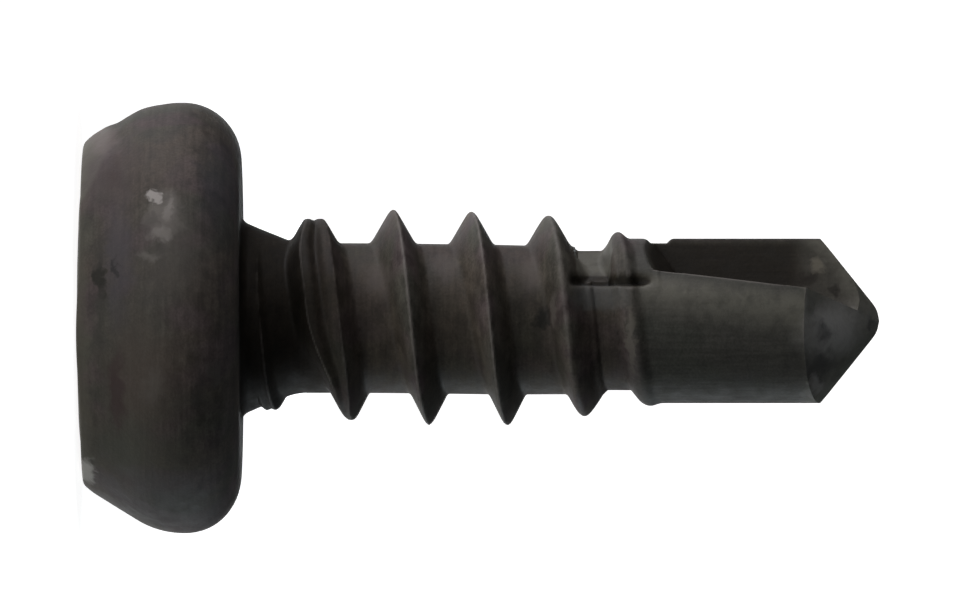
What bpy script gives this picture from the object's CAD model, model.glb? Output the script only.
from math import asin, cos, radians, sin, tan

import bpy
import numpy as np
from mathutils import Matrix, Vector


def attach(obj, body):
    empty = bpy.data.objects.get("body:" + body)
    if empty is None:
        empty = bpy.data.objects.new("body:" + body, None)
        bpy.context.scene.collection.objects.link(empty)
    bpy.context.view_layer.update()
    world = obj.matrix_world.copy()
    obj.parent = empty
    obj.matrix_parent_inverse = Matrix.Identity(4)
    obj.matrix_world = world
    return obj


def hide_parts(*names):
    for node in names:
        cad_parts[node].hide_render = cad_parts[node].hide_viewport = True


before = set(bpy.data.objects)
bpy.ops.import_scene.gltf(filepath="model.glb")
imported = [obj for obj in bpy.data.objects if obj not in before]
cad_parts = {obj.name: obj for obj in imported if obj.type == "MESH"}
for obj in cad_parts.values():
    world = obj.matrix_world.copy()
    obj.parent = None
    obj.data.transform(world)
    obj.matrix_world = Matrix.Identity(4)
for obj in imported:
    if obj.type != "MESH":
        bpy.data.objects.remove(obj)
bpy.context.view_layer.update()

MM = 0.001
TURN = 2 * np.pi

# ---------------------------------------------------------------- sizes, in millimetres
# Heights are along the screw's axis, from the bearing face towards the point.
HEAD_R, HEAD_H = 3.75, 2.81
LENGTH = 11.11
PITCH = 25.4 / 19
FIRST_CREST = 1.333  # height of a crest on the side towards -X, before it drifts
CREST_R = 1.885
ROOT_R, ROOT_END_R = 1.305, 1.285
NECK_R, NECK_TAPER = 1.685, 0.40
GROOVE_R = 1.21
BEND = 0.05  # how far the drill is out of line with the head

DRILL_R = 1.435
DRILL_BACK = 6.45
DRILL_CORNER = 10.08
FLUTE_BACK = 7.01
FLUTE_END_SLOPE = tan(radians(48))
FLUTE_END_WAY = radians(25.5)
HALF_WEB = 0.40
RAKE = asin(HALF_WEB / DRILL_R)
POINT_SLOPE = tan(radians(51.3))
RELIEF_SLOPE = tan(radians(46.8))
RELIEF_SHIFT, RELIEF_WAY = 0.45, radians(95)

POCKETS = ((radians(19), 1.12), (radians(199), 0.955))  # way and radius of each floor
POCKET_CUTTER_R = 3.20
FOLD_LINE, FOLD_DEPTH, FOLD_WIDTH = 0.71, 0.16, 0.08

RECESS_DEPTH = 1.85
WING_REACH = (2.05, 1.15)  # at the mouth and at the bottom, as the next two are
WING_WIDTH = (1.02, 0.72)
CORE_R = (1.05, 0.70)
RECESS_END_SLOPE = tan(radians(28))
RECESS_END = RECESS_DEPTH + WING_REACH[1] * RECESS_END_SLOPE
MOUTH_R = 2.12

FAR = 9.0  # a radius outside everything

# ---------------------------------------------------------------- the mesh's columns and rings
COLUMNS = 216
EVEN = np.arange(COLUMNS) / COLUMNS * TURN
FLUTE_COLUMNS = 14  # on a flute's cutting face, and again on its heel wall
WING_TIP_COLUMNS = 8  # on half of a wing's tip
WING_SIDE_COLUMNS = COLUMNS // 8 - WING_TIP_COLUMNS
THREAD_STEP = 0.026
THREAD_HEIGHTS = np.concatenate([
    np.arange(0.30, 6.98, THREAD_STEP),
    np.arange(6.98, 7.60, THREAD_STEP),
    np.arange(7.60, 8.0, 0.04),
])
DRILL_RINGS = 36
POINT_RINGS = 14
WRAP = 12  # columns repeated at each end of a closed ring while its bends are measured
BEND_REACH = 0.05
SHARP_EDGE = radians(42)


def smaller(a, b, rounding):
    """The smaller of two, rounded where they meet."""
    near = np.maximum(rounding - np.abs(a - b), 0) / rounding
    return np.minimum(a, b) - near * near * rounding / 4


def larger(a, b, rounding):
    """The larger of two, rounded where they meet."""
    return -smaller(-a, -b, rounding)


def ramp(x, a, b):
    """0 below a, 1 above b, and smooth between them."""
    t = np.clip((x - a) / (b - a), 0, 1)
    return t * t * (3 - 2 * t)


def between(x, a, b, c, d):
    """1 from b to c, 0 below a and above d, and smooth on the way."""
    return ramp(x, a, b) * (1 - ramp(x, c, d))


def waves(x, y, z, size, seed):
    """Smooth unevenness, about -1 to 1, with bumps of about this size."""
    total = 0
    for i in range(7):
        turn = seed + 2.4 * i
        tilt = 0.7 + 1.9 * i
        way = np.array([cos(turn) * cos(tilt), sin(turn) * cos(tilt), sin(tilt)])
        way = way * (0.8 + 0.13 * i) * TURN / 2 / size
        total = total + np.sin(way[0] * x + way[1] * y + way[2] * z + 1.7 * seed * i)
    return total / 3


def ring(r, angle, z):
    """Points at these radii, angles and heights."""
    return np.stack(np.broadcast_arrays(r * np.cos(angle), r * np.sin(angle), z), 1)


# ---------------------------------------------------------------- the shank's surface
def towards_x(angle):
    """2 on the side towards +X, and 0 on the side towards -X."""
    return 1 + np.cos(angle)


def bend(z):
    """How far the shank is out of line at this height, towards +X."""
    return BEND * ramp(z, 1.5, 7.0)


def blank_radius(z):
    """Neck, root and drill body, before the thread."""
    root = ROOT_R - (ROOT_R - ROOT_END_R) * ramp(z, 4.2, 6.2)
    neck = larger(NECK_R - NECK_TAPER * z, root, 0.08)
    drill = root + (DRILL_R - root) * ramp(z, DRILL_BACK - 0.18, DRILL_BACK + 0.06)
    return np.where(z > 3, drill, neck)


def helix(angle, z):
    """Turns along the thread, whose crest runs where this is a whole number."""
    drift = 0.11 * np.clip(1 - z / 4.2, 0, 1) - 0.01
    drift = drift + 0.025 * towards_x(angle) + 0.18 * ramp(z, 5.95, 6.9)
    return (z + drift - FIRST_CREST) / PITCH - (angle - np.pi) / TURN


def height_off(turns):
    """Height above the nearest whole turn."""
    return (turns - np.round(turns)) * PITCH


def ridge_radius(angle, z):
    """The thread's ridge, which rises out of the neck and sinks away over the drill's back."""
    side = height_off(helix(angle, z))
    at = z - side
    neck_loss = 0.25 * (1 - ramp(at, 0.3, 2.6))
    end_loss = 0.39 * np.clip((at - 4.8) / 1.9, 0, 1) ** 1.4
    crest = CREST_R - neck_loss - end_loss - 0.02 * towards_x(angle)
    crest = crest + 0.012 * waves(3 * angle, at, 0, 1.3, 2.0)

    # The first crest is split into two lips, which stand to the right and left of its line.
    split = between(at, 1.15, 1.30, 1.60, 1.90)
    right = 0.13 * between(at, 1.15, 1.30, 1.68, 1.90)
    left = 0.16 * split + 0.24 * between(at, 1.28, 1.45, 1.55, 1.75)
    away = np.abs(side - (right - left) / 2)
    land = neck_loss * (0.45 - 0.2 * np.cos(angle)) + 0.012
    land = land * (1 - split) + (right + left) / 2
    wide = split * ramp(at, 1.27, 1.42)
    seam = (0.03 + 0.08 * wide) * np.clip(neck_loss / 0.13, 0, 1)
    seam = seam * np.exp(-((away / (0.045 + 0.045 * wide)) ** 2))

    # The flank that faces the point is flatter near the drill.
    flatter = towards_x(angle) * ramp(at, 4.8, 6.0) * ramp(side, -0.05, 0.05)
    slope = 2.0 + 0.16 * np.cos(angle) - 0.4 * flatter
    rounding = 0.022 + 0.10 * np.clip((at - 4.6) / 1.9, 0, 1)
    off = np.maximum(away - land, 0)
    flank = slope * (np.sqrt(off**2 + rounding**2) - rounding)
    return crest - flank - seam - 0.5 * ramp(at, 7.15, 7.75)


def groove_radius(angle, z):
    """The groove's last turn, which bites into the back of the drill."""
    side = height_off(helix(angle, z) - 0.56)
    at = z - side
    way_out = np.clip((at - 6.7) / 0.75, 0, 2)
    floor = GROOVE_R + 0.22 * way_out**1.5 + 0.5 * (1 - ramp(at, 5.6, 6.2))
    half_width = 0.16 + 0.05 * towards_x(angle)
    return floor + 1.19 * np.maximum(np.abs(side) - half_width, 0)


def pocket_radius(angle, z):
    """Two shallow scoops just short of the drill."""
    cuts = []
    for way, floor in POCKETS:
        off = angle - way
        middle = floor + POCKET_CUTTER_R
        inside = POCKET_CUTTER_R**2 - (middle * np.sin(off)) ** 2
        hit = (inside > 0) & (np.cos(off) > 0)
        near_side = middle * np.cos(off) - np.sqrt(np.maximum(inside, 0))
        cuts.append(np.where(hit, near_side, FAR))
    ends = 1.6 * (1 - ramp(z, 5.66, 5.86)) + 1.6 * ramp(z, 6.38, 6.56)
    return np.minimum(*cuts) + ends


def fold_depth(angle, z, r):
    """Depth of the fold that the dies left beside each pocket. The radius is the one before it."""
    across, along = np.cos(angle), np.sin(angle)
    off = np.abs(r * across) - FOLD_LINE
    here = (across * along > 0) * between(z, 5.66, 5.78, 6.85, 7.25)
    return FOLD_DEPTH * np.exp(-((off / FOLD_WIDTH) ** 2)) * here


def folded(angle, z, r):
    """1 in those folds and 0 outside. The radius is the one after them."""
    before = r
    for _ in range(8):
        before = r + fold_depth(angle, z, before)
    return np.minimum(14 * fold_depth(angle, z, before), 1) * (z > 5)


def heel(z):
    """Angle from the cutting edge to the heel edge of a flute."""
    t = np.clip((z - FLUTE_BACK) / (DRILL_CORNER - FLUTE_BACK), 0, 1.05)
    return np.radians(51 + 17 * t)


def heel_lean(z):
    """Angle by which the heel wall leans back."""
    return np.minimum(radians(24.7), np.pi / 2 - heel(z) - radians(0.8))


def wall_distance(z):
    """How far the plane of the heel wall lies from the axis."""
    return DRILL_R * np.cos(heel(z) + heel_lean(z))


def flute_corner(z):
    """Radius of a flute's bottom corner, where its cutting face meets its heel wall."""
    wall, lean = wall_distance(z), heel_lean(z)
    across, along = np.cos(lean), -np.sin(lean)
    spread = sin(RAKE) * along - cos(RAKE) * across
    x = (HALF_WEB * along - cos(RAKE) * wall) / spread
    y = (sin(RAKE) * wall - across * HALF_WEB) / spread
    return np.hypot(x, y)


def plane_radius(distance, facing):
    """Radius at which a plane is met. Facing is the cosine of the angle to its normal."""
    return np.where(facing > 0.02, distance / np.maximum(facing, 0.02), FAR)


def flute_radius(angle, z):
    """Two flutes, each with a cutting face, a heel wall and a sloped end."""
    cuts = []
    for way in (0, np.pi):
        off = (angle - way + np.pi) % TURN - np.pi
        face = plane_radius(HALF_WEB, np.sin(off + RAKE))
        wall = plane_radius(wall_distance(z), np.cos(off + heel_lean(z)))
        end_distance = DRILL_R + (FLUTE_BACK - z) * FLUTE_END_SLOPE
        end = plane_radius(end_distance, np.cos(off - FLUTE_END_WAY))
        cuts.append(larger(larger(face, wall, 0.16), end, 0.10))
    return np.minimum(*cuts)


def shank_radius(angle, z):
    """The whole shank, short of its point."""
    body = smaller(blank_radius(z), groove_radius(angle, z), 0.05)
    body = smaller(body, pocket_radius(angle, z), 0.05)
    body = larger(body, ridge_radius(angle, z), 0.14)
    body = body - fold_depth(angle, z, body)
    return smaller(body, flute_radius(angle, z), 0.015)


def point_height(x, y):
    """The drill's point: a cone, relieved behind each lip by one whose axis is shifted."""
    cone = LENGTH + 0.13 - np.hypot(x, y) / POINT_SLOPE
    dx = RELIEF_SHIFT * cos(RELIEF_WAY)
    dy = RELIEF_SHIFT * sin(RELIEF_WAY)
    tip = LENGTH + RELIEF_SHIFT / RELIEF_SLOPE
    near = tip - np.hypot(x - dx, y - dy) / RELIEF_SLOPE
    other = tip - np.hypot(x + dx, y + dy) / RELIEF_SLOPE
    return smaller(smaller(near, other, 0.03), cone, 0.03)


# ---------------------------------------------------------------- the shank's rings
def columns(z):
    """Angle of each column at this height: even on the thread, and set on the flutes' edges."""
    at = max(z, FLUTE_BACK)
    corner = float(flute_corner(at))
    face_r = np.linspace(DRILL_R, corner, FLUTE_COLUMNS + 1)
    face = np.arcsin(np.minimum(HALF_WEB / face_r, 1)) - RAKE
    wall_r = np.linspace(corner, DRILL_R, FLUTE_COLUMNS + 1)[1:]
    wall = np.arccos(np.clip(wall_distance(at) / wall_r, -1, 1)) - heel_lean(at)
    land = np.linspace(heel(at), np.pi, COLUMNS // 2 - 2 * FLUTE_COLUMNS + 1)[1:-1]
    half = np.concatenate([face, wall, land])
    weight = ramp(z, 6.3, 6.95)
    return EVEN * (1 - weight) + np.concatenate([half, half + np.pi]) * weight


def onto_crest(angle, z):
    """Heights moved onto the ridge's crest where they would just miss it."""
    side = height_off(helix(angle, z))
    close = np.clip(1 - np.abs(side) / (1.5 * THREAD_STEP), 0, 1)
    return z - side * close * (1 - ramp(z, 6.3, 6.6))


def at_heights(heights):
    """Angle and radius of each column at its own height."""
    angle = np.array([columns(z)[j] for j, z in enumerate(heights)])
    return angle, shank_radius(angle, heights)


def shank_rings():
    """From the neck along the thread and the drill, and over the point."""
    rings = []
    for z in THREAD_HEIGHTS:
        angle = columns(z)
        heights = onto_crest(angle, z)
        rings.append(ring(shank_radius(angle, heights), angle, heights))

    # The drill's corner, where its side meets the point.
    corner = np.full(COLUMNS, DRILL_CORNER)
    for _ in range(12):
        angle, r = at_heights(corner)
        corner = 0.5 * corner + 0.5 * point_height(r * np.cos(angle), r * np.sin(angle))
    start = THREAD_HEIGHTS[-1]
    for i in range(1, DRILL_RINGS + 1):
        heights = start + (corner - start) * i / DRILL_RINGS
        angle, r = at_heights(heights)
        rings.append(ring(r, angle, heights))
    rim = rings[-1]
    for t in np.linspace(1, 0, POINT_RINGS + 2)[1:-1]:
        x, y = rim[:, 0] * t, rim[:, 1] * t
        rings.append(np.stack([x, y, point_height(x, y)], 1))
    for points in rings:
        points[:, 0] += bend(points[:, 2])
    return rings


# ---------------------------------------------------------------- the head's rings
def arc(middle_r, middle_z, r, first, last, count):
    """(radius, height) points. An angle of 0 degrees is outwards, and 90 is towards the top."""
    angles = [radians(a) for a in np.linspace(first, last, count)]
    return [(middle_r + r * cos(a), middle_z - r * sin(a)) for a in angles]


def head_profile():
    """(radius, height) from the recess's mouth over the top, rim and bearing face to the neck."""
    top_r = 2.955
    crown_r = 1.45
    rim_r = 1.0
    fillet_r = 0.22
    top = [
        (r, -HEAD_H + 0.012 * ramp(r, 2.1, 2.9))
        for r in np.linspace(MOUTH_R, top_r - 0.10, 9)
    ]
    top_edge = arc(top_r - 0.115, -HEAD_H + 0.13, 0.12, 90, 30, 7)[1:]
    crown = arc(HEAD_R - crown_r, -1.04, crown_r, 30, 0, 10)
    first_r, first_z = top_edge[-1]
    last_r, last_z = crown[0]
    flank = [
        (first_r + (last_r - first_r) * t, first_z + (last_z - first_z) * t)
        for t in np.linspace(0, 1, 14)[1:-1]
    ]
    rim = arc(HEAD_R - rim_r, -rim_r, rim_r, 0, -90, 16)
    bearing_face = [(r, 0.0) for r in np.linspace(2.75, 1.90, 6)[1:-1]]
    into_neck = arc(1.62 + fillet_r, fillet_r, fillet_r, 90, 158, 9)
    return top + top_edge + flank + crown + rim + bearing_face + into_neck


def tapered(size, depth):
    """A size of the recess at this depth, from its sizes at the mouth and at the bottom."""
    return size[0] - depth * (size[0] - size[1]) / RECESS_DEPTH


def recess_radius(angle, depth):
    """Outline of the cross recess at a depth below the head's top."""
    across, along = np.abs(np.cos(angle)), np.abs(np.sin(angle))
    side = tapered(WING_WIDTH, depth) / 2 / np.maximum(np.minimum(across, along), 1e-4)
    return larger(np.minimum(tapered(WING_REACH, depth), side), tapered(CORE_R, depth), 0.06)


def recess_columns(depth):
    """Angles with columns on the edges of the wings."""
    reach = tapered(WING_REACH, depth)
    half_width = tapered(WING_WIDTH, depth) / 2
    tip = asin(half_width / reach)
    side_r = np.linspace(reach, half_width * 2**0.5, WING_SIDE_COLUMNS + 1)
    side = np.arcsin(np.clip(half_width / side_r, 0, 1))
    quarter = np.concatenate([
        np.linspace(0, tip, WING_TIP_COLUMNS + 1)[:-1],
        side[:-1],
        np.pi / 2 - side[:0:-1],
        np.linspace(np.pi / 2 - tip, np.pi / 2, WING_TIP_COLUMNS + 1)[:-1],
    ])
    return np.concatenate([quarter + k * np.pi / 2 for k in range(4)])


def recess_rings():
    """From the cone at the recess's bottom up its walls to its rounded mouth."""
    rings = []
    angle = recess_columns(RECESS_DEPTH)
    edge_r = recess_radius(angle, RECESS_DEPTH)
    for t in np.linspace(0, 1, 7)[1:-1]:
        r = edge_r * t
        rings.append(ring(r, angle, RECESS_END - r * RECESS_END_SLOPE - HEAD_H))
    rounding = 0.06
    for depth in [*np.linspace(RECESS_DEPTH, rounding, 15), 0.03, 0.01, 0.0]:
        angle = recess_columns(depth)
        r = recess_radius(angle, depth) + 0.05 * max(1 - depth / rounding, 0) ** 2
        rings.append(ring(r, angle, depth - HEAD_H))
    return rings


def head_rings(mouth):
    """From the recess's mouth over the head to the neck."""
    rings = []
    mouth_r = np.hypot(mouth[:, 0], mouth[:, 1])
    for t in np.linspace(0, 1, 5)[1:-1]:
        angle = recess_columns(0) * (1 - t) + EVEN * t
        rings.append(ring(mouth_r * (1 - t) + MOUTH_R * t, angle, mouth[:, 2]))
    return rings + [ring(r, EVEN, z) for r, z in head_profile()]


def forged(points):
    """The head's unevenness: swells, a fuller flank towards -X, and a top that isn't quite flat."""
    x, y, z = points.T
    r = np.hypot(x, y)
    swell = 0.010 * waves(x, y, z, 1.9, 1.0) + 0.005 * waves(x, y, z, 0.7, 3.0)
    fuller = 0.075 * (1 - ramp(z, -2.0, -1.3)) + 0.06 * (1 - ramp(z, -2.4, -2.1))
    fuller = fuller * np.clip(-x / np.maximum(r, 1e-6), 0, 1) ** 2 * ramp(z, -3.1, -2.8)
    on_side = ramp(r, 2.6, 3.0) * (z < 0)
    out = 1 + on_side * (swell + fuller) / np.maximum(r, 1e-6)
    high_places = 0.5 + 0.5 * np.cos(3 * (np.arctan2(y, x) + np.pi / 2 - 0.1))
    on_top = ramp(r, 1.9, 2.6) * (1 - ramp(z, -2.81, -2.55))
    return np.stack([x * out, y * out, z + 0.05 * (1 - high_places**4) * on_top], 1)


# ---------------------------------------------------------------- what the coat's wear follows
def second_difference(paths, closed):
    """How each row of points bends at every point, over BEND_REACH along it."""
    if closed:
        paths = np.concatenate([paths[:, -WRAP:], paths, paths[:, :WRAP]], 1)
    steps = np.linalg.norm(np.diff(paths, axis=1), axis=2)
    out = np.empty_like(paths)
    for row, lengths, result in zip(paths, steps, out):
        s = np.concatenate([[0], np.cumsum(np.maximum(lengths, 1e-9))])
        for k in range(3):
            ahead = np.interp(s + BEND_REACH, s, row[:, k])
            behind = np.interp(s - BEND_REACH, s, row[:, k])
            result[:, k] = ahead + behind - 2 * row[:, k]
        if not closed:
            result[(s < BEND_REACH) | (s > s[-1] - BEND_REACH)] = 0
    return out[:, WRAP:-WRAP] if closed else out


def edges_and_hollows(grid):
    """How far each point stands out as an edge (above 0) or lies in a hollow (below 0)."""
    along = np.gradient(grid, axis=0)
    around = np.roll(grid, -1, 1) - np.roll(grid, 1, 1)
    normal = np.cross(around, along)
    normal /= np.maximum(np.linalg.norm(normal, axis=2, keepdims=True), 1e-12)
    lengthwise = second_difference(grid.transpose(1, 0, 2), False).transpose(1, 0, 2)
    bends = lengthwise + second_difference(grid, True)
    return -(bends * normal).sum(2) / (2 * BEND_REACH)


def about_axis(grid):
    """Angle, radius and height of each point about the shank's own axis."""
    x, y, z = grid.transpose(2, 0, 1)
    x = x - bend(z)
    return np.arctan2(y, x), np.hypot(x, y), z


def sheltered(grid, in_recess):
    """How far from rubbing and light: in the recess, grooves, folds and flutes, under the head."""
    angle, r, z = about_axis(grid)
    open_r = 1.80 - 0.42 * ramp(z, 5.6, 6.6)
    in_groove = np.clip((open_r - r) / 0.42, 0, 1) * (z > 0.2)
    in_groove = in_groove * (0.42 + 0.58 * ramp(z, 6.6, 7.0))
    in_flute = np.clip((DRILL_R - 0.02 - r) / 0.12, 0, 1) * ramp(z, 6.9, 7.05)
    on_point = z + r / POINT_SLOPE > LENGTH + 0.07
    deep = np.where(on_point, 0, np.maximum(in_groove, in_flute))
    deep = deep * (1 - 0.65 * ramp(z, 9.5, 9.85))
    deep = np.maximum(deep, folded(angle, z, r))
    under_head = (1 - ramp(z, 0.8, 2.4)) * (z > -0.02) * ramp(-r, -2.9, -2.2)
    return np.maximum(np.maximum(deep, under_head), in_recess)


def burnished(grid):
    """How far the coat is rubbed thin: in the pockets, behind the heels and on the point."""
    angle, r, z = about_axis(grid)
    strip = between(angle % np.pi - heel(z), 0.0, 0.21, 0.21, 0.75)
    on_land = ramp(r, DRILL_R - 0.05, DRILL_R - 0.02) * ramp(z, 6.8, 7.1)
    pressed = ramp(blank_radius(z) - pocket_radius(angle, z), 0.01, 0.06) * (z < 7)
    pressed = pressed * (1 - folded(angle, z, r))
    on_point = ramp(z, 9.60, 9.95) * (0.30 + 0.70 * ramp(z + r / POINT_SLOPE, 10.8, 11.2))
    return np.maximum(np.maximum(0.9 * strip * on_land, pressed), on_point)


# ---------------------------------------------------------------- the screw
def skin(count):
    """Faces between this many rings of points, and fans to the two points after them."""
    around = np.arange(COLUMNS)
    after = np.roll(around, -1)
    lower = np.arange(count - 1)[:, None] * COLUMNS
    upper = lower + COLUMNS
    quads = np.stack([lower + after, upper + after, upper + around, lower + around], 2)
    bottom = np.full(COLUMNS, count * COLUMNS)
    last_ring = (count - 1) * COLUMNS
    bottom_fan = np.stack([bottom, after, around], 1)
    tip_fan = np.stack([bottom + 1, last_ring + around, last_ring + after], 1)
    return quads.reshape(-1, 4).tolist() + bottom_fan.tolist() + tip_fan.tolist()


def screw_mesh():
    """The whole screw in one skin, from the recess's bottom to the point."""
    recess = recess_rings()
    rings = np.array(recess + head_rings(recess[-1]) + shank_rings())
    count = len(rings)
    points = forged(rings.reshape(-1, 3))
    grid = points.reshape(count, COLUMNS, 3)
    in_recess = (np.arange(count) < len(recess))[:, None]
    in_recess = in_recess * ramp(grid[:, :, 2], -HEAD_H, -HEAD_H + 0.5)

    ends = [[0, 0, RECESS_END - HEAD_H], [bend(LENGTH), 0, LENGTH]]
    points = np.concatenate([points, ends])
    mesh = bpy.data.meshes.new("screw_body")
    mesh.from_pydata((points * MM).tolist(), [], skin(count))
    mesh.update()
    fields = (
        ("edge", edges_and_hollows(grid), [0, 0]),
        ("shelter", sheltered(grid, in_recess), [1, 0]),
        ("worn", burnished(grid), [0, 1]),
    )
    for name, values, at_ends in fields:
        field = mesh.attributes.new(name, "FLOAT", "POINT")
        field.data.foreach_set("value", np.append(values.ravel(), at_ends).astype(np.float32))
    mesh.shade_smooth()
    mesh.set_sharp_from_angle(angle=SHARP_EDGE)
    return mesh


mesh = screw_mesh()
screw = bpy.data.objects.new("screw_body", mesh)
bpy.context.scene.collection.objects.link(screw)

# ---------------------------------------------------------------- material
# Marks on the coat: middle and half sizes in millimetres, softness, colour and strength.
MARKS = (
    # The head: wide tints and stains, knocks and worn places.
    ((-1.05, -3.20, -2.05), (0.95, 1.00, 0.22), 0.70, (0.046, 0.043, 0.051), 0.65),
    ((1.05, -3.30, -1.65), (1.00, 1.00, 0.65), 0.70, (0.050, 0.039, 0.033), 0.55),
    ((2.30, -2.40, -1.90), (0.50, 1.20, 0.90), 0.70, (0.035, 0.037, 0.029), 0.55),
    ((-2.50, -2.00, -2.30), (0.60, 1.20, 0.50), 0.80, (0.053, 0.043, 0.046), 0.60),
    ((-2.30, -2.60, -0.35), (0.80, 1.50, 0.30), 0.80, (0.031, 0.034, 0.039), 0.60),
    ((0.60, -2.50, -2.72), (2.40, 2.20, 0.15), 0.90, (0.068, 0.067, 0.054), 0.65),
    ((-0.50, -3.10, -2.38), (0.90, 0.80, 0.07), 0.80, (0.026, 0.025, 0.023), 0.60),
    ((1.25, -3.40, -0.62), (0.30, 0.60, 0.13), 0.70, (0.018, 0.018, 0.018), 0.50),
    ((0.95, -3.40, -0.40), (0.20, 0.60, 0.09), 0.60, (0.060, 0.058, 0.056), 0.50),
    ((-1.72, -3.15, -1.25), (0.40, 0.60, 0.27), 0.45, (0.115, 0.109, 0.103), 0.85),
    ((-0.95, -3.40, -1.05), (0.80, 0.60, 0.55), 0.90, (0.062, 0.058, 0.054), 0.60),
    ((1.15, -3.30, -1.42), (0.25, 0.60, 0.20), 0.80, (0.072, 0.066, 0.060), 0.60),
    ((-2.07, -3.00, -1.49), (0.09, 0.45, 0.10), 0.35, (0.240, 0.232, 0.226), 0.90),
    ((-1.82, -3.10, -1.20), (0.20, 0.50, 0.08), 0.45, (0.150, 0.143, 0.137), 0.80),
    ((-1.42, -3.25, -1.30), (0.09, 0.50, 0.18), 0.50, (0.140, 0.134, 0.128), 0.75),
    ((-1.66, -3.15, -1.42), (0.11, 0.50, 0.10), 0.50, (0.044, 0.042, 0.039), 0.60),
    ((-1.12, -3.40, -1.48), (0.06, 0.40, 0.17), 0.70, (0.105, 0.100, 0.094), 0.65),
    ((-3.05, -1.00, -2.36), (0.30, 1.20, 0.24), 0.60, (0.115, 0.098, 0.098), 0.60),
    ((-2.45, -2.00, -2.16), (0.28, 0.80, 0.16), 0.70, (0.028, 0.019, 0.019), 0.55),
    ((2.66, -1.45, -2.66), (0.24, 0.80, 0.17), 0.40, (0.330, 0.330, 0.320), 0.85),
    ((-0.66, -3.10, -2.35), (0.26, 0.50, 0.075), 0.45, (0.009, 0.009, 0.007), 0.90),
    ((-0.85, -3.20, -2.12), (0.15, 0.50, 0.070), 0.50, (0.014, 0.014, 0.015), 0.80),
    ((1.22, -3.05, -2.07), (0.62, 0.70, 0.12), 0.60, (0.024, 0.014, 0.015), 0.70),
    ((2.85, -2.00, -0.66), (0.10, 0.50, 0.09), 0.50, (0.010, 0.010, 0.010), 0.60),
    ((3.20, -1.90, -1.50), (0.55, 2.00, 1.10), 0.60, (0.037, 0.041, 0.043), 0.45),
    # The drill's point, and its back.
    ((0.22, -1.00, 10.38), (0.46, 0.70, 0.62), 0.55, (0.200, 0.200, 0.194), 0.85),
    ((-0.36, -1.25, 6.15), (0.22, 0.50, 0.50), 0.60, (0.075, 0.080, 0.080), 0.60),
    ((-0.70, -0.20, 9.82), (0.15, 0.50, 0.19), 0.50, (0.012, 0.010, 0.008), 0.80),
    ((-0.50, -0.30, 10.30), (0.10, 0.50, 0.09), 0.40, (0.012, 0.011, 0.009), 0.80),
    ((-0.95, -0.15, 10.02), (0.16, 0.50, 0.13), 0.50, (0.125, 0.118, 0.095), 0.70),
    ((0.25, -1.30, 10.11), (0.20, 0.60, 0.17), 0.60, (0.020, 0.019, 0.019), 0.80),
    ((0.82, -0.90, 10.02), (0.24, 0.90, 0.22), 0.70, (0.022, 0.021, 0.022), 0.75),
    ((1.17, -0.80, 9.95), (0.13, 0.70, 0.14), 0.50, (0.150, 0.144, 0.140), 0.80),
    ((0.13, -0.15, 10.97), (0.12, 0.50, 0.07), 0.50, (0.018, 0.017, 0.016), 0.75),
    # The thread: a chip, lighter places between the crests, and its run-out.
    ((0.00, -1.40, 5.17), (0.17, 0.50, 0.14), 0.50, (0.006, 0.006, 0.005), 0.95),
    ((-0.16, -1.55, 5.42), (0.24, 0.60, 0.08), 0.50, (0.085, 0.078, 0.070), 0.50),
    ((-0.38, -1.30, 4.96), (0.24, 0.50, 0.08), 0.60, (0.020, 0.017, 0.015), 0.50),
    ((-0.65, -1.15, 2.42), (0.24, 0.50, 0.24), 0.80, (0.080, 0.069, 0.065), 0.50),
    ((-0.85, -1.00, 3.54), (0.24, 0.50, 0.17), 0.80, (0.078, 0.068, 0.065), 0.50),
    ((-0.77, -1.05, 5.02), (0.26, 0.50, 0.20), 0.80, (0.082, 0.071, 0.066), 0.50),
    ((0.35, -1.35, 6.77), (0.60, 0.50, 0.06), 0.50, (0.088, 0.083, 0.072), 0.60),
)

# Colours of the coat, and of the metal where the coat is rubbed.
BROWN = (0.0450, 0.0385, 0.0335)
OLIVE_GREY = (0.0365, 0.0360, 0.0310)
PURPLISH = (0.0460, 0.0365, 0.0380)
DRILL_GREY = (0.0295, 0.0315, 0.0278)
SHELTERED_OLIVE = (0.0430, 0.0350, 0.0235)
RUBBED_EDGE = (0.100, 0.094, 0.089)
RUBBED_FACE = (0.094, 0.094, 0.080)


def add_node(tree, kind, inputs, **settings):
    """A new node with these settings, whose inputs take numbers or the sockets that feed them."""
    made = tree.nodes.new(kind)
    for name, value in settings.items():
        setattr(made, name, value)
    for key, value in inputs.items():
        if isinstance(value, bpy.types.NodeSocket):
            tree.links.new(value, made.inputs[key])
        else:
            made.inputs[key].default_value = value
    return made


def calc(tree, operation, a, b=0.0, c=0.0):
    """The result of a Math node."""
    return add_node(tree, "ShaderNodeMath", {0: a, 1: b, 2: c}, operation=operation).outputs[0]


def product(tree, *values):
    """All of these multiplied, from the first to the last."""
    total = values[0]
    for value in values[1:]:
        total = calc(tree, "MULTIPLY", total, value)
    return total


def fade(tree, value, low, high, first=0.0, last=1.0):
    """Goes smoothly from first at low to last at high."""
    inputs = {0: value, 1: low, 2: high, 3: first, 4: last}
    made = add_node(tree, "ShaderNodeMapRange", inputs, interpolation_type="SMOOTHSTEP")
    return made.outputs[0]


def over(tree, under, shade, amount):
    """This shade laid over the colour under it, by this amount."""
    inputs = {0: amount, 6: under, 7: (*shade, 1)}
    return add_node(tree, "ShaderNodeMix", inputs, data_type="RGBA").outputs[2]


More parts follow.
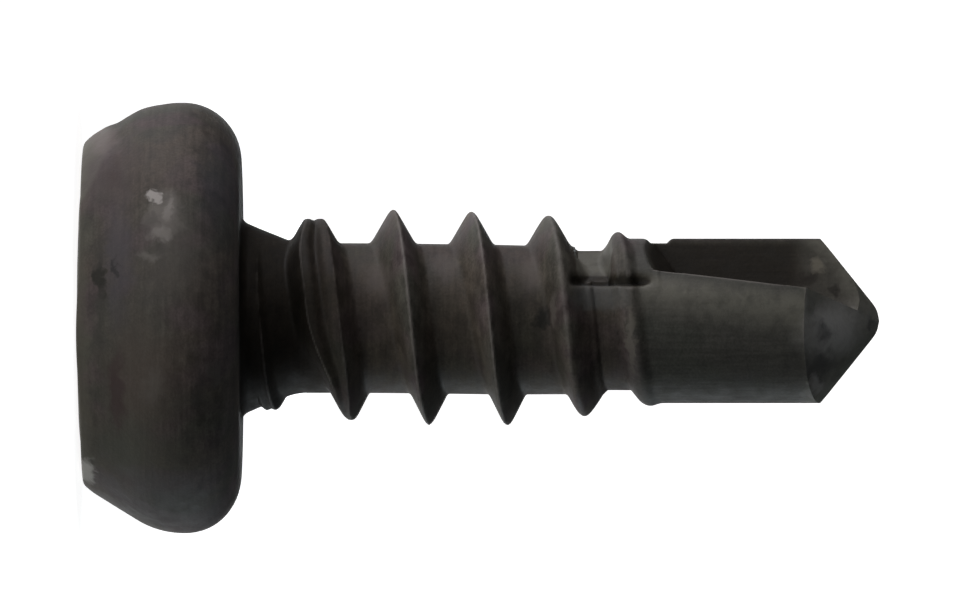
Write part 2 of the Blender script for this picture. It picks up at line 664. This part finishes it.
def noise(tree, place, size, stretch=(1, 1, 1), detail=2.0, rough=0.5):
    """Noise with features of this many millimetres, longer along the stretched ways."""
    scale = [1 / (size * way) for way in stretch]
    at = add_node(tree, "ShaderNodeMapping", {"Vector": place, "Scale": scale}).outputs[0]
    inputs = {"Vector": at, "Scale": 1.0, "Detail": detail, "Roughness": rough}
    return add_node(tree, "ShaderNodeTexNoise", inputs).outputs[0]


def moved(tree, place, size, reach):
    """The place moved about unevenly, by up to this many millimetres each way."""
    at = add_node(tree, "ShaderNodeMapping", {"Vector": place, "Scale": [1 / size] * 3}).outputs[0]
    inputs = {"Vector": at, "Scale": 1.0, "Detail": 2.0}
    way = add_node(tree, "ShaderNodeTexNoise", inputs).outputs["Color"]
    inputs = {0: way, 1: (2 * reach,) * 3, 2: (-reach,) * 3}
    move = add_node(tree, "ShaderNodeVectorMath", inputs, operation="MULTIPLY_ADD").outputs[0]
    return add_node(tree, "ShaderNodeVectorMath", {0: place, 1: move}, operation="ADD").outputs[0]


def spot(tree, place, middle, half, soft):
    """1 in a spot of these half sizes and 0 outside it, with a border that is twice soft wide."""
    shift = [-m / h for m, h in zip(middle, half)]
    inputs = {"Vector": place, "Location": shift, "Scale": [1 / h for h in half]}
    at = add_node(tree, "ShaderNodeMapping", inputs).outputs[0]
    away = add_node(tree, "ShaderNodeVectorMath", {0: at}, operation="LENGTH").outputs["Value"]
    return fade(tree, away, 1 - soft, 1 + soft, 1.0, 0.0)


def black_phosphate():
    """Phosphated steel: mottled brown and grey, darker where sheltered, rubbed along its edges."""
    made = bpy.data.materials.new("black_phosphate")
    made.use_nodes = True
    tree = made.node_tree
    shader = tree.nodes["Principled BSDF"]
    where = add_node(tree, "ShaderNodeTexCoord", {}).outputs["Object"]
    inputs = {0: where, "Scale": 1 / MM}
    place = add_node(tree, "ShaderNodeVectorMath", inputs, operation="SCALE").outputs[0]
    height = add_node(tree, "ShaderNodeSeparateXYZ", {0: place}).outputs["Z"]
    edge, shelter, worn = [
        add_node(tree, "ShaderNodeAttribute", {}, attribute_name=name).outputs["Fac"]
        for name in ("edge", "shelter", "worn")
    ]
    on_drill = fade(tree, height, 6.6, 7.1)
    past_neck = fade(tree, height, 1.6, 2.4)
    on_thread = product(tree, past_neck, fade(tree, height, 5.6, 6.8, 1.0, 0.0))

    # Unevenness, from the widest to the finest.
    patches = noise(tree, place, 1.5, detail=1.0)
    tints = noise(tree, place, 0.8, (1, 1, 1.6), detail=1.0)
    mottle = noise(tree, place, 0.30, (1, 1, 0.8), 3.0, 0.6)
    around = noise(tree, place, 0.075, (14, 14, 1), 2.0)
    along = noise(tree, place, 0.070, (1, 1, 16), 2.0)
    strokes = add_node(tree, "ShaderNodeMix", {0: on_drill, 2: around, 3: along}).outputs[0]
    grain = noise(tree, place, 0.045, detail=1.0)

    # Colour of the coat: brown to olive, here and there purplish, and greyer on the drill.
    colour = over(tree, (*BROWN, 1), OLIVE_GREY, fade(tree, patches, 0.36, 0.62))
    colour = over(tree, colour, PURPLISH, fade(tree, tints, 0.46, 0.64, 0.0, 0.85))
    colour = over(tree, colour, DRILL_GREY, product(tree, on_drill, 0.8))
    colour = over(tree, colour, SHELTERED_OLIVE, product(tree, shelter, 0.8))

    # Light and dark: mottled, grained and streaked, dark in the hollows, lighter on the thread.
    swing = fade(tree, on_drill, 0.0, 1.0, 0.31, 0.16)
    light = product(
        tree,
        calc(tree, "MULTIPLY_ADD", fade(tree, mottle, 0.28, 0.72, -1.0, 1.0), swing, 1.0),
        fade(tree, grain, 0.3, 0.7, 0.88, 1.12),
        fade(tree, strokes, 0.3, 0.7, 0.86, 1.14),
        calc(tree, "MULTIPLY_ADD", shelter, -0.80, 1.0),
        calc(tree, "MULTIPLY_ADD", on_thread, 0.32, 1.0),
        fade(tree, edge, -0.70, -0.10, 0.45, 1.0),
    )
    inputs = {0: 1.0, 6: colour, 7: light}
    settings = {"data_type": "RGBA", "blend_type": "MULTIPLY"}
    colour = add_node(tree, "ShaderNodeMix", inputs, **settings).outputs[2]

    # Edges rubbed in patches, down to grey, and the strips and the point that rub on the work.
    rub = calc(tree, "MULTIPLY_ADD", mottle, 0.5, edge)
    rub = product(tree, fade(tree, rub, 0.42, 0.85), fade(tree, patches, 0.35, 0.60, 0.35, 1.0))
    colour = over(tree, colour, RUBBED_EDGE, product(tree, rub, 0.75))
    bare = product(tree, worn, fade(tree, mottle, 0.30, 0.62, 0.55, 1.0))
    colour = over(tree, colour, RUBBED_FACE, product(tree, bare, 0.9))

    # Knocks, stains and thin places of the coat.
    ragged = moved(tree, moved(tree, place, 0.34, 0.22), 0.085, 0.07)
    for middle, half, soft, shade, strength in MARKS:
        amount = product(tree, spot(tree, ragged, middle, half, soft), strength)
        colour = over(tree, colour, shade, amount)
    tree.links.new(colour, shader.inputs["Base Color"])

    # Gloss: rougher where sheltered, smoother on the thread, where rubbed and on the drill.
    rough = fade(tree, mottle, 0.3, 0.7, 0.56, 0.70)
    changes = ((shelter, 0.04), (on_thread, -0.06), (rub, -0.10), (worn, -0.08), (on_drill, -0.05))
    for amount, change in changes:
        rough = calc(tree, "MULTIPLY_ADD", amount, change, rough)
    tree.links.new(rough, shader.inputs["Roughness"])
    shader.inputs["Specular IOR Level"].default_value = 0.14

    # Relief in millimetres: crystals, strokes and shallow dents.
    relief = product(tree, grain, 0.0022)
    relief = calc(tree, "MULTIPLY_ADD", strokes, 0.0035, relief)
    relief = calc(tree, "MULTIPLY_ADD", mottle, 0.010, relief)
    bump = add_node(tree, "ShaderNodeBump", {"Strength": 1.0, "Distance": MM, "Height": relief})
    tree.links.new(bump.outputs[0], shader.inputs["Normal"])
    return made


mesh.materials.append(black_phosphate())
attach(screw, "root")
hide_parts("screw")

# ---------------------------------------------------------------- stage, in metres
FLOOR_Z = -HEAD_H * MM
SWEEP_START, SWEEP_R = 0.40, 0.04
BACKDROP_TOP = 0.08


def lathe(name, profile, sides, start, end):
    """A sheet turned about the screw's axis, from (radius, height above the floor) points."""
    turns = [start + (end - start) * j / sides for j in range(sides + 1)]
    verts = [(r * cos(a), r * sin(a), FLOOR_Z + h) for r, h in profile for a in turns]
    n = sides + 1
    faces = [
        (i * n + j, i * n + j + 1, (i + 1) * n + j + 1, (i + 1) * n + j)
        for i in range(len(profile) - 1)
        for j in range(sides)
    ]
    sheet = bpy.data.meshes.new(name)
    sheet.from_pydata(verts, [], faces)
    sheet.shade_smooth()
    obj = bpy.data.objects.new(name, sheet)
    bpy.context.scene.collection.objects.link(obj)
    obj.visible_shadow = False
    return obj


sweep = [
    (SWEEP_START + SWEEP_R * sin(a), SWEEP_R - SWEEP_R * cos(a))
    for a in np.linspace(0, np.pi / 2, 13)
]
level = [(0, 0), (0.02, 0), (0.1, 0), (0.25, 0)]
upright = [(SWEEP_START + SWEEP_R, BACKDROP_TOP)]
floor = lathe("floor", level + sweep[:6], 96, 0, TURN)
backdrop = lathe("backdrop", sweep[5:] + upright, 12, radians(75), radians(105))


def white_paper():
    """White paper that glows for the camera and in reflections, a little less near the screw."""
    made = bpy.data.materials.new("white_paper")
    made.use_nodes = True
    tree = made.node_tree
    shader = tree.nodes["Principled BSDF"]
    shader.inputs["Base Color"].default_value = (0.9, 0.9, 0.9, 1)
    shader.inputs["Roughness"].default_value = 0.9
    shader.inputs["Specular IOR Level"].default_value = 0.1
    shader.inputs["Emission Color"].default_value = (1, 1, 1, 1)
    path = add_node(tree, "ShaderNodeLightPath", {}).outputs
    seen = calc(tree, "MAXIMUM", path["Is Camera Ray"], path["Is Glossy Ray"])
    seen = calc(tree, "MAXIMUM", seen, path["Is Transmission Ray"])
    where = add_node(tree, "ShaderNodeTexCoord", {}).outputs["Object"]
    away = add_node(tree, "ShaderNodeVectorMath", {0: where}, operation="LENGTH").outputs["Value"]
    glow = product(tree, seen, fade(tree, away, 0.02, 0.06, 0.87, 1.0))
    tree.links.new(glow, shader.inputs["Emission Strength"])
    return made


paper = white_paper()
floor.data.materials.append(paper)
backdrop.data.materials.append(paper)

# ---------------------------------------------------------------- light
LAMP_DISTANCE = 0.30
LAMP_AIM = Vector((0, 0, 4 * MM))

# Name, direction from the screw, size in metres, level and colour.
LAMPS = (
    ("upper", (-0.957, 0.208, -0.203), 0.15, 0.50, (1.0, 0.96, 0.98)),
    ("overhead", (-0.905, -0.425, 0.02), 0.16, 0.43, (1.0, 0.94, 0.93)),
    ("left", (-0.48, -0.42, -0.77), 0.14, 0.43, (1.0, 0.93, 0.92)),
    ("front", (0.262, -0.700, -0.660), 0.12, 0.21, (1.0, 0.99, 0.88)),
    ("top", (0.0, 0.259, 0.966), 0.12, 0.12, (0.92, 0.97, 1.0)),
    ("below", (0.75, 0.50, 0.18), 0.16, 0.21, (0.88, 0.96, 1.0)),
    ("back", (-0.10, 0.98, -0.12), 0.20, 0.26, (0.90, 0.97, 1.0)),
)


def lamp(name, way, size, level, colour):
    """A soft round lamp that faces the screw. Level is how bright it makes white paper there."""
    data = bpy.data.lights.new(name, "AREA")
    data.shape = "DISK"
    data.size = size
    way = Vector(way).normalized()
    data.energy = level * np.pi * LAMP_DISTANCE**2 * np.pi
    data.color = colour
    obj = bpy.data.objects.new(name, data)
    obj.location = LAMP_AIM + way * LAMP_DISTANCE
    obj.rotation_mode = "QUATERNION"
    obj.rotation_quaternion = way.to_track_quat("Z", "Y")
    obj.visible_camera = False
    bpy.context.scene.collection.objects.link(obj)


for row in LAMPS:
    lamp(*row)
world = bpy.data.worlds.new("studio")
bpy.context.scene.world = world
world.use_nodes = True
sky = world.node_tree.nodes["Background"]
sky.inputs["Color"].default_value = (0.95, 0.97, 1.0, 1)
sky.inputs["Strength"].default_value = 0.05

# ---------------------------------------------------------------- camera
# It looks along +Y, with the screw's head to the left and -X up.
LENS, SENSOR = 510, 36
VIEW_WIDTH = 16.93 * MM
VIEW_MIDDLE = Vector((-0.3136, 0, 4.26)) * MM
right = Vector((0, 0, 1))
up = Vector((-1, 0, 0))
back = Vector((0, -1, 0))
camera_place = VIEW_MIDDLE + back * (VIEW_WIDTH / 2 * LENS / (SENSOR / 2))
camera_axes = Matrix((right, up, back)).transposed().to_4x4()
data = bpy.data.cameras.new("camera")
data.lens = LENS
data.sensor_width = SENSOR
data.clip_start = 0.01
data.clip_end = 10
camera = bpy.data.objects.new("camera", data)
camera.matrix_world = Matrix.Translation(camera_place) @ camera_axes
bpy.context.scene.collection.objects.link(camera)
bpy.context.scene.camera = camera

bpy.context.scene.view_settings.view_transform = "Standard"
